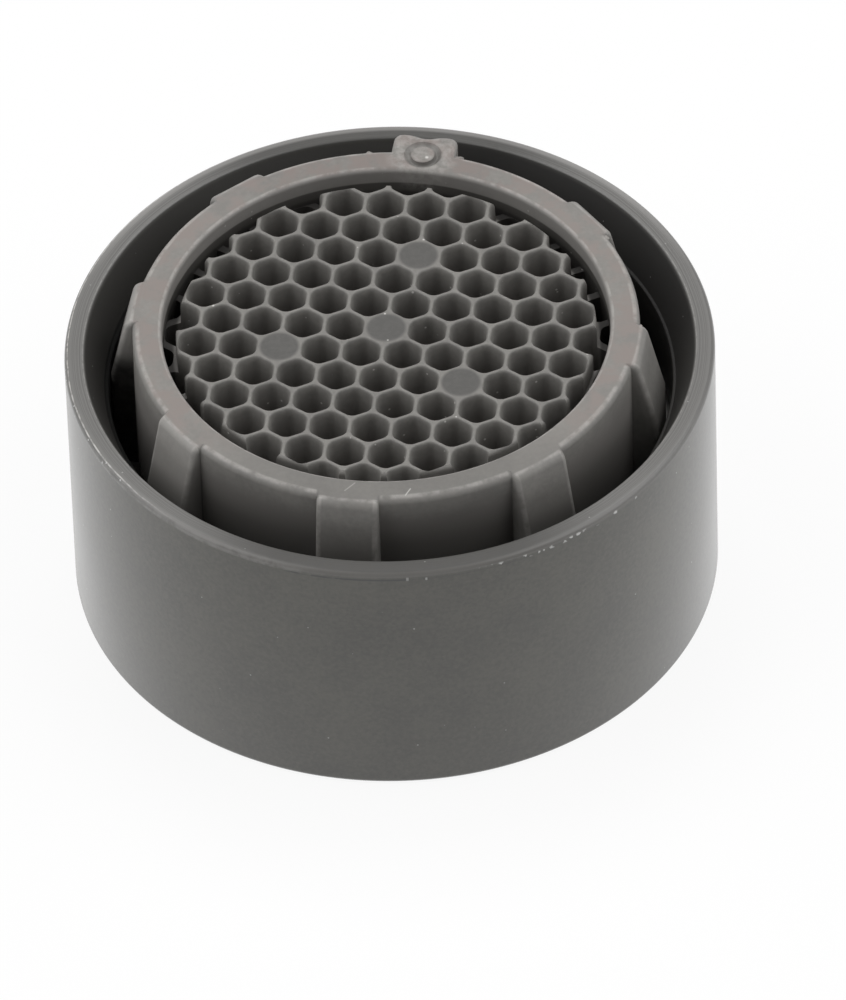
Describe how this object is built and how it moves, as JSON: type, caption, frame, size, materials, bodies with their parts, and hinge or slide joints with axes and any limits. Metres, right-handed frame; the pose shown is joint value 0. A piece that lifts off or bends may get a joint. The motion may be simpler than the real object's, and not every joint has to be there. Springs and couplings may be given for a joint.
{
  "type": "tap flow regulator",
  "caption": "Round aerator cartridge for a tap: a plain sleeve, a honeycomb outlet nozzle on tapered ribs, and a jet plate, flow regulator and strainer inside.",
  "frame": {"origin": "centre of the inlet face, on which the cartridge stands", "axes": "+Z along the water's way from inlet to outlet, +X to the right in the picture, +Y away from the camera"},
  "size_m": [0.022, 0.022, 0.011],
  "materials": {
    "sleeve_plastic": "satin moulded, dark grey",
    "nozzle_plastic": "satin moulded, mid grey",
    "inner_plastic": "satin moulded, mid grey",
    "ring_rubber": "smooth black rubber"
  },
  "bodies": {
    "root": {"outer_sleeve": "sleeve_plastic", "outlet_nozzle": "nozzle_plastic", "mixing_grid": "inner_plastic", "jet_plate": "inner_plastic", "regulator_core": "inner_plastic", "regulator_ring": "ring_rubber", "inlet_strainer": "inner_plastic"}
  },
  "joints": []
}
